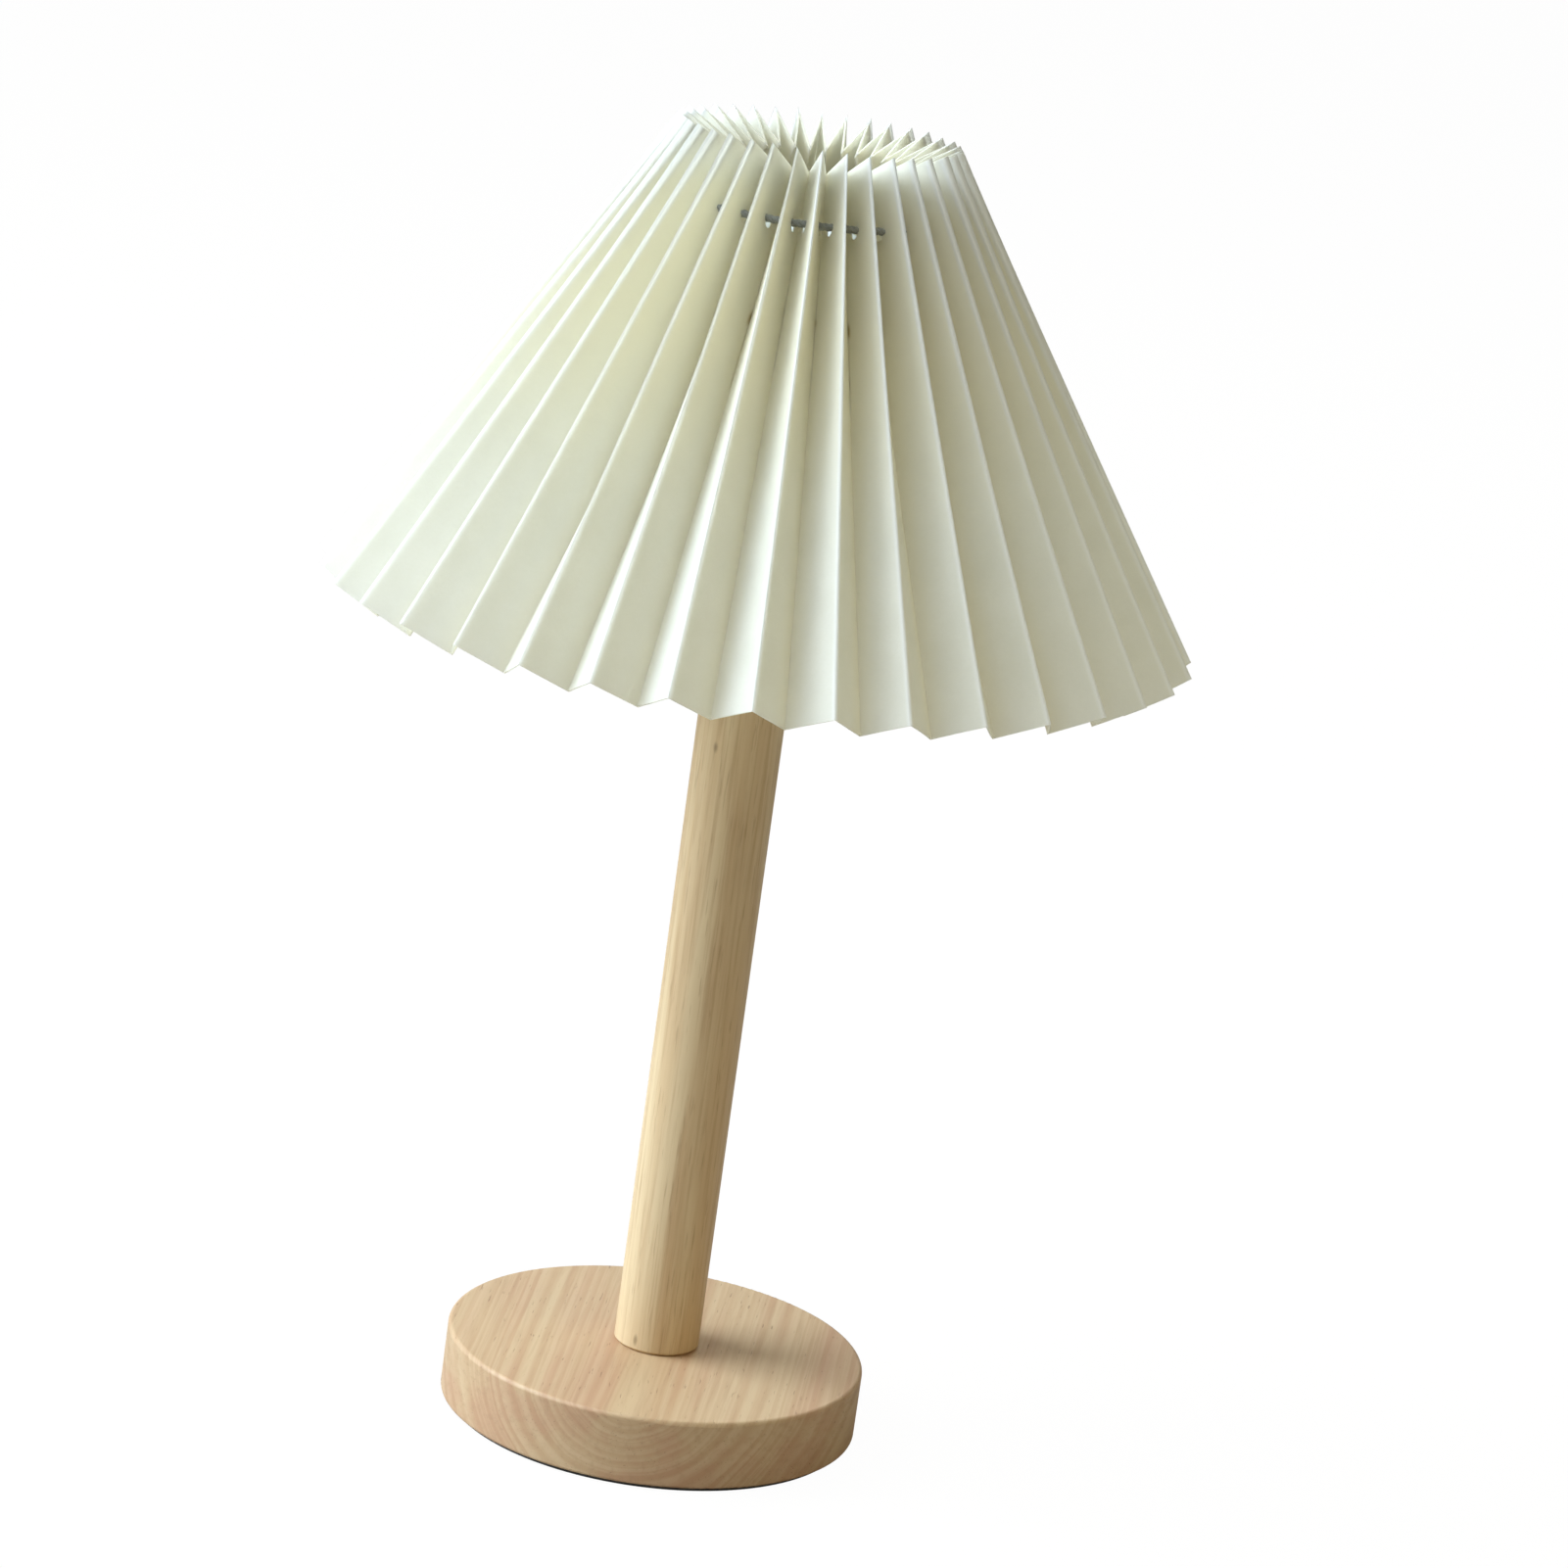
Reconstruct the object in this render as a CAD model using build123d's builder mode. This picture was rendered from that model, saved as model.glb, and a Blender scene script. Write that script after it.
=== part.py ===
"""Table lamp: a wooden disc and pole that carry a pleated paper shade on a wire carrier.

Millimetres, +Z up. The lamp's axis is Z, the surface it stands on is Z = 0, and its back,
where a lead comes out of the base, is +Y.
"""

from build123d import *
from math import asin, atan2, cos, pi, sin, sqrt
import os

os.makedirs("parts", exist_ok=True)

# ---------------------------------------------------------------- driving sizes
# Wooden base and the pad under it
base_diameter = 108.0
base_thickness = 18.0
base_top_round = 1.2
base_foot_round = 0.8
pad_diameter = 104.0
pad_thickness = 1.2
recess_diameter = 36.0
recess_depth = 11.0

# Bush for the lead, in the back rim of the base
gland_bore = 6.4
gland_wall = 1.2
gland_length = 14.0
gland_flange_diameter = 11.0
gland_flange_thickness = 1.6
gland_seat_depth = 1.0
gland_height = 6.6

# Pole, and the threaded tube that ties base, pole and lampholder together
pole_diameter = 22.0
pole_length = 186.0
pole_chamfer = 0.8
tube_diameter = 10.0
tube_bore = 8.0
tube_end_margin = 1.0
nut_across_flats = 14.0
nut_thickness = 3.5
base_washer_diameter = 26.0
base_washer_thickness = 1.5
pole_washer_diameter = 19.0
pole_washer_thickness = 1.0

# Lampholder
cap_neck_diameter = 14.0
cap_neck_height = 7.0
cap_diameter = 27.0
cap_flare_height = 7.0
cap_height = 30.0
cap_floor = 4.0
cap_wall = 1.5
cap_ledge_width = 1.4
block_flange_height = 19.0
block_flange_thickness = 5.0
shoulder_diameter = 31.0
shoulder_thickness = 3.0
barrel_diameter = 28.0
barrel_length = 25.0
barrel_bore = 19.0
barrel_thread_pitch = 2.5
barrel_thread_depth = 0.7
socket_depth = 16.0
socket_below_rim = 6.0
shell_wall = 0.5
shell_lip = 1.7
contact_strip = 0.4
contact_width = 4.0
contact_leg_inset = 1.2
contact_rise = 4.5
contact_well_diameter = 9.2
contact_well_depth = 7.0
clamp_size = 5.0
clamp_height = 6.0
clamp_offset = 5.0
terminal_screw_diameter = 3.0
terminal_head_diameter = 4.6
terminal_head_height = 1.4

# Ring that clamps the carrier on the lampholder
ring_diameter = 36.0
ring_height = 9.5
ring_grip_count = 18
ring_grip_diameter = 2.4

# Small globe bulb
bulb_cap_diameter = 13.9
bulb_cap_length = 15.0
bulb_cap_wall = 0.35
bulb_thread_pitch = 2.82
bulb_thread_depth = 0.55
bulb_groove_width = 1.7
bulb_insulator_height = 3.0
bulb_tip_diameter = 4.0
bulb_tip_height = 1.2
bulb_neck_diameter = 16.8
bulb_neck_length = 7.0
bulb_housing_height = 25.0
bulb_neck_flare = 0.2
bulb_rim_flare = 0.25
bulb_wall = 1.0
globe_diameter = 45.0
globe_cut = 8.0
led_board_thickness = 1.0
led_board_depth = 2.0
led_rim_width = 3.5
led_ledge_width = 1.0
led_count = 8
led_circle_diameter = 22.0
led_width = 2.8
led_length = 3.5
led_height = 0.8
driver_board_width = 12.0
driver_board_thickness = 1.0
driver_board_drop = 7.0
driver_slot_gap = 0.25

# Pleated shade: one strip of paper, folded and opened into a cone
pleat_count = 36
shade_bottom_diameter = 220.0
shade_top_diameter = 70.0
fold_length = 141.0
facet_width = 14.0
paper_thickness = 0.5
hem_above_base = 198.0
trim_margin = 4.0
sheet_spans = 3

# Drawstring through a row of punched holes
punch_from_top = 16.3
punch_from_ridge = 8.8
punch_diameter = 3.2
string_diameter = 2.0
knot_diameter = 5.0
knot_stand_off = 2.6
tail_length = 17.0
tail_spread = 9.0

# Wire carrier under the valleys of the paper
fitter_diameter = 46.0
fitter_thickness = 1.2
carrier_wire = 2.5
carrier_drop = 22.8
spoke_count = 3
spoke_wire = 2.0
spoke_reach = 33.0
spoke_foot = 3.5
spoke_bend = 7.0

# Clearances
bore_clearance = 0.10
thread_clearance = 0.05
running_clearance = 0.10
fitter_clearance = 0.30
rest_gap = 0.30

# ---------------------------------------------------------------- derived heights
base_foot = pad_thickness
base_top = base_foot + base_thickness
recess_top = base_foot + recess_depth
nut_top = recess_top - base_washer_thickness
nut_foot = nut_top - nut_thickness
tube_foot = nut_foot - tube_end_margin
pole_top = base_top + pole_length
holder_foot = pole_top + pole_washer_thickness
cap_inner_floor = holder_foot + cap_neck_height + cap_floor
cap_rim = holder_foot + cap_height
tube_top = cap_inner_floor - tube_end_margin
flange_foot = holder_foot + block_flange_height
flange_top = flange_foot + block_flange_thickness
shoulder_top = cap_rim + shoulder_thickness
barrel_top = shoulder_top + barrel_length
socket_top = barrel_top - socket_below_rim
socket_floor = socket_top - socket_depth
fitter_top = shoulder_top + fitter_thickness
ring_foot = fitter_top + rest_gap
ring_top = ring_foot + ring_height

# Derived radii of the lampholder
cap_radius = cap_diameter / 2
cap_inner_radius = cap_radius - cap_wall
shell_inner_radius = bulb_cap_diameter / 2 + running_clearance
shell_outer_radius = shell_inner_radius + shell_wall
barrel_radius = barrel_diameter / 2
barrel_bore_radius = barrel_bore / 2
block_radius = barrel_bore_radius - bore_clearance

# Derived heights of the bulb: its tip stops just above the centre contact
contact_top = socket_floor - contact_well_depth + contact_rise
tip_foot = contact_top + rest_gap
insulator_foot = tip_foot + bulb_tip_height
bulb_cap_foot = insulator_foot + bulb_insulator_height
bulb_cap_top = bulb_cap_foot + bulb_cap_length
housing_top = bulb_cap_top + bulb_housing_height
globe_radius = globe_diameter / 2
globe_centre = housing_top + globe_cut
globe_seat_radius = sqrt(globe_radius**2 - globe_cut**2)
globe_inner_radius = globe_radius - bulb_wall
led_board_top = housing_top - led_board_depth
led_board_foot = led_board_top - led_board_thickness

# ---------------------------------------------------------------- pleat geometry
# Each facet is a strip whose ends are square to its folds, so the outer folds (ridges) end
# higher than the inner folds (valleys) by the facet's depth across the cone.
half_pitch = pi / pleat_count
shade_bottom_radius = shade_bottom_diameter / 2
shade_top_radius = shade_top_diameter / 2
lean = asin((shade_bottom_radius - shade_top_radius) / fold_length)
hem_height = base_top + hem_above_base
shade_top_height = hem_height + fold_length * cos(lean)


def fold_depth(ridge_radius):
    """Depth from ridge to valley, square to the cone, that gives a facet its width."""
    bow = 1 - cos(half_pitch)
    half = ridge_radius * cos(lean) * bow
    return half + sqrt(half**2 - 2 * ridge_radius**2 * bow + facet_width**2)


def across(ridge_point, depth):
    """Point at a depth inside a ridge point, as (radius, height)."""
    return (ridge_point[0] - depth * cos(lean), ridge_point[1] - depth * sin(lean))


def radius_on(line, height):
    """Radius at a height on a straight fold given by two (radius, height) points."""
    (r_low, z_low), (r_high, z_high) = line
    return r_low + (r_high - r_low) * (height - z_low) / (z_high - z_low)


ridge_bottom = (shade_bottom_radius, hem_height)
ridge_top = (shade_top_radius, shade_top_height)
bottom_depth = fold_depth(shade_bottom_radius)
top_depth = fold_depth(shade_top_radius)
ridge_line = (ridge_bottom, ridge_top)
valley_line = (across(ridge_bottom, bottom_depth), across(ridge_top, top_depth))


def fold_radii(height, inset):
    """Ridge and valley radii at a height, on the sheet's face set in by inset."""
    ridge = radius_on(ridge_line, height)
    valley = radius_on(valley_line, height)
    ridge_angle = atan2(valley * sin(half_pitch), ridge - valley * cos(half_pitch))
    valley_angle = ridge_angle + half_pitch
    return ridge - inset / sin(ridge_angle), valley - inset / sin(valley_angle)


def zigzag(height, inset):
    """Corners of the pleated outline at a height, ridge and valley by turns."""
    ridge, valley = fold_radii(height, inset)
    corners = []
    for pleat in range(pleat_count):
        turn = 2 * half_pitch * pleat
        corners.append((ridge * cos(turn), ridge * sin(turn)))
        corners.append((valley * cos(turn + half_pitch), valley * sin(turn + half_pitch)))
    return corners


# Drawstring: through the punched row, nearer to the valleys than to the ridges
punch_ridge = (
    shade_top_radius + punch_from_top * sin(lean),
    shade_top_height - punch_from_top * cos(lean),
)
punch_depth = fold_depth(punch_ridge[0]) * punch_from_ridge / facet_width
string_radius, string_height = across(punch_ridge, punch_depth)

# The sheet is drawn a little past its ends and then trimmed. Its inner face needs several
# levels, crowded towards the top, because the pleats close up there.
zigzag_low = valley_line[0][1] - trim_margin
zigzag_high = shade_top_height + trim_margin
low_ridge = radius_on(ridge_line, zigzag_low)
high_ridge = radius_on(ridge_line, zigzag_high)
ridge_rise = (zigzag_high - zigzag_low) / (low_ridge - high_ridge)
sheet_levels = []
for step in range(sheet_spans + 1):
    level_ridge = low_ridge * (high_ridge / low_ridge) ** (step / sheet_spans)
    sheet_levels.append(zigzag_low + (low_ridge - level_ridge) * ridge_rise)

# Carrier ring: just inside the valleys, below the drawstring
carrier_height = string_height - carrier_drop
seat_top = max(level for level in sheet_levels if level < carrier_height)
seat_span = [level for level in sheet_levels if level >= seat_top][:2]
seat_line = [(fold_radii(level, paper_thickness)[1], level) for level in seat_span]
seat_lean = atan2(seat_line[0][0] - seat_line[1][0], seat_line[1][1] - seat_line[0][1])
carrier_seat = radius_on(seat_line, carrier_height)
carrier_radius = carrier_seat - (carrier_wire / 2 + rest_gap) / cos(seat_lean)

# ---------------------------------------------------------------- base
gland_axis_height = base_foot + gland_height
gland_radius = gland_bore / 2 + gland_wall
gland_seat = base_diameter / 2 - gland_seat_depth
gland_plane = Plane(origin=(0, gland_seat, gland_axis_height), x_dir=(1, 0, 0), z_dir=(0, 1, 0))
flange_radius = gland_flange_diameter / 2

with BuildPart() as base_disc:
    with BuildSketch(Plane.XY.offset(base_foot)):
        Circle(base_diameter / 2)
    extrude(amount=base_thickness)
    rims = base_disc.edges().filter_by(GeomType.CIRCLE).sort_by(Axis.Z)
    fillet(rims[-1], radius=base_top_round)
    fillet(rims[0], radius=base_foot_round)
    with BuildSketch(Plane.XY.offset(base_foot)):
        Circle(recess_diameter / 2)
    extrude(amount=recess_depth, mode=Mode.SUBTRACT)
    with BuildSketch(Plane.XY.offset(base_foot)):
        Circle(tube_diameter / 2 + bore_clearance)
    extrude(amount=base_thickness, mode=Mode.SUBTRACT)
    with BuildSketch(gland_plane):
        Circle(gland_radius + bore_clearance)
    extrude(amount=-gland_seat, mode=Mode.SUBTRACT)
    with BuildSketch(gland_plane):
        Circle(flange_radius + bore_clearance)
    extrude(amount=2 * gland_seat_depth, mode=Mode.SUBTRACT)
base_disc.part.label = "base_disc"

with BuildPart() as anti_slip_pad:
    with BuildSketch(Plane.XY):
        Circle(pad_diameter / 2)
    extrude(amount=pad_thickness)
anti_slip_pad.part.label = "anti_slip_pad"

with BuildPart() as cord_gland:
    with BuildSketch(gland_plane):
        Circle(flange_radius)
    extrude(amount=gland_flange_thickness)
    fillet(cord_gland.edges().sort_by(Axis.Y)[-1], radius=gland_flange_thickness / 2)
    with BuildSketch(gland_plane):
        Circle(gland_radius)
    extrude(amount=-gland_length)
    with BuildSketch(gland_plane.offset(gland_flange_thickness)):
        Circle(gland_bore / 2)
    extrude(amount=-(gland_length + gland_flange_thickness), mode=Mode.SUBTRACT)
cord_gland.part.label = "cord_gland"

with BuildPart() as base_washer:
    with BuildSketch(Plane.XY.offset(nut_top)):
        Circle(base_washer_diameter / 2)
        Circle(tube_diameter / 2 + bore_clearance, mode=Mode.SUBTRACT)
    extrude(amount=base_washer_thickness)
base_washer.part.label = "base_washer"

with BuildPart() as base_nut:
    with BuildSketch(Plane.XY.offset(nut_foot)):
        RegularPolygon(radius=nut_across_flats / 2, side_count=6, major_radius=False)
        Circle(tube_diameter / 2 + thread_clearance, mode=Mode.SUBTRACT)
    extrude(amount=nut_thickness)
base_nut.part.label = "base_nut"

# ---------------------------------------------------------------- pole and tube
with BuildPart() as pole:
    with BuildSketch(Plane.XY.offset(base_top)):
        Circle(pole_diameter / 2)
    extrude(amount=pole_length)
    chamfer(pole.edges().filter_by(GeomType.CIRCLE), length=pole_chamfer)
    with BuildSketch(Plane.XY.offset(base_top)):
        Circle(tube_diameter / 2 + bore_clearance)
    extrude(amount=pole_length, mode=Mode.SUBTRACT)
pole.part.label = "pole"

with BuildPart() as threaded_tube:
    with BuildSketch(Plane.XY.offset(tube_foot)):
        Circle(tube_diameter / 2)
        Circle(tube_bore / 2, mode=Mode.SUBTRACT)
    extrude(amount=tube_top - tube_foot)
threaded_tube.part.label = "threaded_tube"

with BuildPart() as pole_washer:
    with BuildSketch(Plane.XY.offset(pole_top)):
        Circle(pole_washer_diameter / 2)
        Circle(tube_diameter / 2 + bore_clearance, mode=Mode.SUBTRACT)
    extrude(amount=pole_washer_thickness)
pole_washer.part.label = "pole_washer"

# ---------------------------------------------------------------- lampholder
neck_radius = cap_neck_diameter / 2
neck_top = holder_foot + cap_neck_height
flare_top = neck_top + cap_flare_height
thread_bore = tube_diameter / 2 + thread_clearance
ledge_radius = cap_inner_radius - cap_ledge_width

with BuildPart() as holder_cap:
    with BuildSketch(Plane.XZ):
        with BuildLine():
            Polyline(
                (thread_bore, holder_foot),
                (neck_radius, holder_foot),
                (neck_radius, neck_top),
                (cap_radius, flare_top),
                (cap_radius, cap_rim),
                (cap_inner_radius, cap_rim),
                (cap_inner_radius, flange_foot),
                (ledge_radius, flange_foot),
                (ledge_radius, flare_top + cap_wall),
                (neck_radius + cap_wall, cap_inner_floor),
                (thread_bore, cap_inner_floor),
                close=True,
            )
        make_face()
    revolve(axis=Axis.Z)
    rims = holder_cap.edges().filter_by(GeomType.CIRCLE).group_by(SortBy.RADIUS)[-1]
    fillet(rims.sort_by(Axis.Z)[0], radius=cap_flare_height / 2)
holder_cap.part.label = "holder_cap"

skirt_radius = cap_inner_radius - running_clearance
thread_count = int(barrel_length / barrel_thread_pitch) - 1
groove_half = barrel_thread_pitch / 4

with BuildPart() as holder_body:
    with BuildSketch(Plane.XZ):
        with BuildLine():
            Polyline(
                (barrel_bore_radius, flange_top),
                (skirt_radius, flange_top),
                (skirt_radius, cap_rim),
                (shoulder_diameter / 2, cap_rim),
                (shoulder_diameter / 2, shoulder_top),
                (barrel_radius, shoulder_top),
                (barrel_radius, barrel_top),
                (barrel_bore_radius, barrel_top),
                close=True,
            )
        make_face()
        for turn in range(thread_count):
            groove_height = barrel_top - (turn + 1) * barrel_thread_pitch
            with BuildLine():
                Polyline(
                    (barrel_radius + barrel_thread_depth, groove_height - groove_half),
                    (barrel_radius - barrel_thread_depth, groove_height),
                    (barrel_radius + barrel_thread_depth, groove_height + groove_half),
                    close=True,
                )
            make_face(mode=Mode.SUBTRACT)
    revolve(axis=Axis.Z)
holder_body.part.label = "holder_body"

socket_radius = shell_outer_radius + bore_clearance
leg_offset = contact_well_diameter / 2 - contact_leg_inset
side_leg_offset = shell_inner_radius - contact_strip
slot_width = contact_width + 2 * bore_clearance
slot_thickness = contact_strip + 2 * bore_clearance
well_floor = socket_floor - contact_well_depth

with BuildPart() as terminal_block:
    with BuildSketch(Plane.XY.offset(flange_foot)):
        Circle(skirt_radius)
    extrude(amount=block_flange_thickness)
    with BuildSketch(Plane.XY.offset(flange_top)):
        Circle(block_radius)
    extrude(amount=socket_top - flange_top)
    with BuildSketch(Plane.XY.offset(socket_floor)):
        Circle(socket_radius)
    extrude(amount=socket_depth, mode=Mode.SUBTRACT)
    with BuildSketch(Plane.XY.offset(well_floor)):
        Circle(contact_well_diameter / 2)
    extrude(amount=contact_well_depth, mode=Mode.SUBTRACT)
    with BuildSketch(Plane.XY.offset(flange_foot)):
        with Locations((leg_offset, 0), (-side_leg_offset, 0)):
            Rectangle(slot_thickness, slot_width)
    extrude(amount=socket_floor - flange_foot, mode=Mode.SUBTRACT)
terminal_block.part.label = "terminal_block"

with BuildPart() as screw_shell:
    with BuildSketch(Plane.XZ):
        with BuildLine():
            Polyline(
                (shell_inner_radius - shell_lip, socket_floor),
                (shell_outer_radius, socket_floor),
                (shell_outer_radius, socket_top),
                (shell_inner_radius, socket_top),
                (shell_inner_radius, socket_floor + shell_wall),
                (shell_inner_radius - shell_lip, socket_floor + shell_wall),
                close=True,
            )
        make_face()
    revolve(axis=Axis.Z)
screw_shell.part.label = "screw_shell"

strip_axis_top = contact_top - contact_strip / 2

with BuildPart() as centre_contact:
    with BuildSketch(Plane.XZ):
        with BuildLine():
            Polyline(
                (leg_offset, flange_foot),
                (leg_offset, well_floor + contact_well_depth / 4),
                (bulb_tip_diameter / 4, strip_axis_top),
                (-bulb_tip_diameter / 2, strip_axis_top),
            )
        trace(line_width=contact_strip)
    extrude(amount=contact_width / 2, both=True)
centre_contact.part.label = "centre_contact"

with BuildPart() as side_contact:
    with BuildSketch(Plane.XY.offset(flange_foot)):
        with Locations((-side_leg_offset, 0)):
            Rectangle(contact_strip, contact_width)
    extrude(amount=socket_floor - flange_foot)
side_contact.part.label = "side_contact"

screw_radius = terminal_screw_diameter / 2
clamp_foot = flange_foot - clamp_height

with BuildPart() as terminal_clamps:
    with BuildSketch(Plane.XY.offset(clamp_foot)):
        with Locations((clamp_offset, 0), (-clamp_offset, 0)):
            Rectangle(clamp_size, clamp_size)
            Circle(screw_radius + thread_clearance, mode=Mode.SUBTRACT)
    extrude(amount=clamp_height)
terminal_clamps.part.label = "terminal_clamps"

with BuildPart() as terminal_screws:
    with BuildSketch(Plane.XY.offset(clamp_foot)):
        with Locations((clamp_offset, 0), (-clamp_offset, 0)):
            Circle(screw_radius)
    extrude(amount=clamp_height * 2 / 3)
    with BuildSketch(Plane.XY.offset(clamp_foot)):
        with Locations((clamp_offset, 0), (-clamp_offset, 0)):
            Circle(terminal_head_diameter / 2)
    extrude(amount=-terminal_head_height)
    with BuildSketch(Plane.XY.offset(clamp_foot - terminal_head_height)):
        with Locations((clamp_offset, 0), (-clamp_offset, 0)):
            Rectangle(terminal_head_diameter, terminal_head_diameter / 6)
    extrude(amount=terminal_head_height / 2, mode=Mode.SUBTRACT)
terminal_screws.part.label = "terminal_screws"

with BuildPart() as retaining_ring:
    with BuildSketch(Plane.XY.offset(ring_foot)):
        Circle(ring_diameter / 2)
    extrude(amount=ring_height)
    fillet(retaining_ring.edges().filter_by(GeomType.CIRCLE), radius=ring_height / 8)
    with BuildSketch(Plane.XY.offset(ring_foot)):
        Circle(barrel_radius + thread_clearance)
        with PolarLocations(ring_diameter / 2 + ring_grip_diameter / 4, ring_grip_count):
            Circle(ring_grip_diameter / 2)
    extrude(amount=ring_height, mode=Mode.SUBTRACT)
retaining_ring.part.label = "retaining_ring"

# ---------------------------------------------------------------- bulb
with BuildPart() as bulb_contact:
    with BuildSketch(Plane.XY.offset(tip_foot)):
        Circle(bulb_tip_diameter / 2)
    extrude(amount=bulb_tip_height)
    fillet(bulb_contact.edges().sort_by(Axis.Z)[0], radius=bulb_tip_height / 2)
bulb_contact.part.label = "bulb_contact"

bulb_cap_radius = bulb_cap_diameter / 2
insulator_foot_radius = shell_inner_radius - 2 * shell_lip

with BuildPart() as bulb_insulator:
    with BuildSketch(Plane.XY.offset(insulator_foot)):
        Circle(insulator_foot_radius)
    with BuildSketch(Plane.XY.offset(bulb_cap_foot)):
        Circle(bulb_cap_radius - bulb_thread_depth)
    loft()
bulb_insulator.part.label = "bulb_insulator"

bulb_thread_count = int(bulb_cap_length / bulb_thread_pitch) - 1
bulb_groove_half = bulb_groove_width / 2

with BuildPart() as bulb_cap:
    with BuildSketch(Plane.XZ):
        with Locations((bulb_cap_radius - bulb_thread_depth, bulb_cap_foot)):
            Rectangle(bulb_thread_depth, bulb_cap_length, align=(Align.MIN, Align.MIN))
        for turn in range(bulb_thread_count):
            groove_height = bulb_cap_foot + (turn + 1) * bulb_thread_pitch
            with BuildLine():
                Polyline(
                    (bulb_cap_radius, groove_height - bulb_groove_half),
                    (bulb_cap_radius - bulb_thread_depth, groove_height),
                    (bulb_cap_radius, groove_height + bulb_groove_half),
                    close=True,
                )
            make_face(mode=Mode.SUBTRACT)
        with Locations((bulb_cap_radius - bulb_thread_depth, bulb_cap_foot)):
            Rectangle(bulb_cap_wall, bulb_cap_length, align=(Align.MAX, Align.MIN))
    revolve(axis=Axis.Z)
bulb_cap.part.label = "bulb_cap"

bulb_neck_radius = bulb_neck_diameter / 2
bulb_neck_top = bulb_cap_top + bulb_neck_length
slot_radius = driver_board_width / 2 + driver_slot_gap
led_board_radius = globe_seat_radius - led_rim_width
ledge_inner_radius = led_board_radius - led_ledge_width

with BuildPart() as bulb_housing:
    with BuildSketch(Plane.XZ):
        with BuildLine():
            inner_neck = (bulb_neck_radius - bulb_wall, bulb_neck_top)
            inner_ledge = (ledge_inner_radius, led_board_foot)
            inner_rim = (led_board_radius + bore_clearance, housing_top)
            Polyline(
                inner_neck,
                (inner_neck[0], bulb_cap_top + bulb_wall),
                (slot_radius, bulb_cap_top + bulb_wall),
                (slot_radius, bulb_cap_top),
                (bulb_neck_radius, bulb_cap_top),
                (bulb_neck_radius, bulb_neck_top),
            )
            Spline(
                (bulb_neck_radius, bulb_neck_top),
                (globe_seat_radius, housing_top),
                tangents=((bulb_neck_flare, 1), (bulb_rim_flare, 1)),
            )
            Polyline(
                (globe_seat_radius, housing_top),
                inner_rim,
                (inner_rim[0], led_board_foot),
                inner_ledge,
                inner_neck,
            )
        make_face()
    revolve(axis=Axis.Z)
bulb_housing.part.label = "bulb_housing"

with BuildPart() as bulb_driver_board:
    with BuildSketch(Plane.XY.offset(bulb_cap_top - driver_board_drop)):
        Rectangle(driver_board_width, driver_board_thickness)
    extrude(amount=led_board_foot - bulb_cap_top + driver_board_drop)
bulb_driver_board.part.label = "bulb_driver_board"

with BuildPart() as bulb_led_board:
    with BuildSketch(Plane.XY.offset(led_board_foot)):
        Circle(led_board_radius)
    extrude(amount=led_board_thickness)
bulb_led_board.part.label = "bulb_led_board"

with BuildPart() as bulb_leds:
    with BuildSketch(Plane.XY.offset(led_board_top)):
        with PolarLocations(led_circle_diameter / 2, led_count):
            Rectangle(led_length, led_width)
    extrude(amount=led_height)
bulb_leds.part.label = "bulb_leds"

globe_inner_seat = sqrt(globe_inner_radius**2 - globe_cut**2)
globe_mid = cos(pi / 4)

with BuildPart() as bulb_diffuser:
    with BuildSketch(Plane.XZ):
        with BuildLine():
            ThreePointArc(
                (globe_seat_radius, housing_top),
                (globe_radius * globe_mid, globe_centre + globe_radius * globe_mid),
                (0, globe_centre + globe_radius),
            )
            Line((0, globe_centre + globe_radius), (0, globe_centre + globe_inner_radius))
            ThreePointArc(
                (0, globe_centre + globe_inner_radius),
                (globe_inner_radius * globe_mid, globe_centre + globe_inner_radius * globe_mid),
                (globe_inner_seat, housing_top),
            )
            Line((globe_inner_seat, housing_top), (globe_seat_radius, housing_top))
        make_face()
    revolve(axis=Axis.Z)
bulb_diffuser.part.label = "bulb_diffuser"

# ---------------------------------------------------------------- wire carrier
with BuildPart() as fitter_plate:
    with BuildSketch(Plane.XY.offset(shoulder_top)):
        Circle(fitter_diameter / 2)
        Circle(barrel_radius + fitter_clearance, mode=Mode.SUBTRACT)
    extrude(amount=fitter_thickness)
fitter_plate.part.label = "fitter_plate"

with BuildPart() as carrier_ring:
    with BuildSketch(Plane.XZ):
        with Locations((carrier_radius, carrier_height)):
            Circle(carrier_wire / 2)
    revolve(axis=Axis.Z)
carrier_ring.part.label = "carrier_ring"

spoke_foot_height = fitter_top + spoke_wire / 2
spoke_start = (fitter_diameter / 2 - spoke_foot, spoke_foot_height)

with BuildPart() as carrier_spokes:
    for spoke in range(spoke_count):
        spoke_plane = Plane.XZ.rotated((0, 0, 90 + 360 * spoke / spoke_count))
        with BuildLine(spoke_plane) as spoke_path:
            FilletPolyline(
                spoke_start,
                (spoke_reach, spoke_foot_height),
                (carrier_radius, carrier_height),
                radius=spoke_bend,
            )
        with BuildSketch(Plane(origin=spoke_path.line @ 0, z_dir=spoke_path.line % 0)):
            Circle(spoke_wire / 2)
        sweep(path=spoke_path.line)
    with BuildSketch(Plane.XZ):
        with Locations((carrier_radius, carrier_height)):
            Circle(carrier_wire / 2)
    revolve(axis=Axis.Z, mode=Mode.SUBTRACT)
carrier_spokes.part.label = "carrier_spokes"

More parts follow.
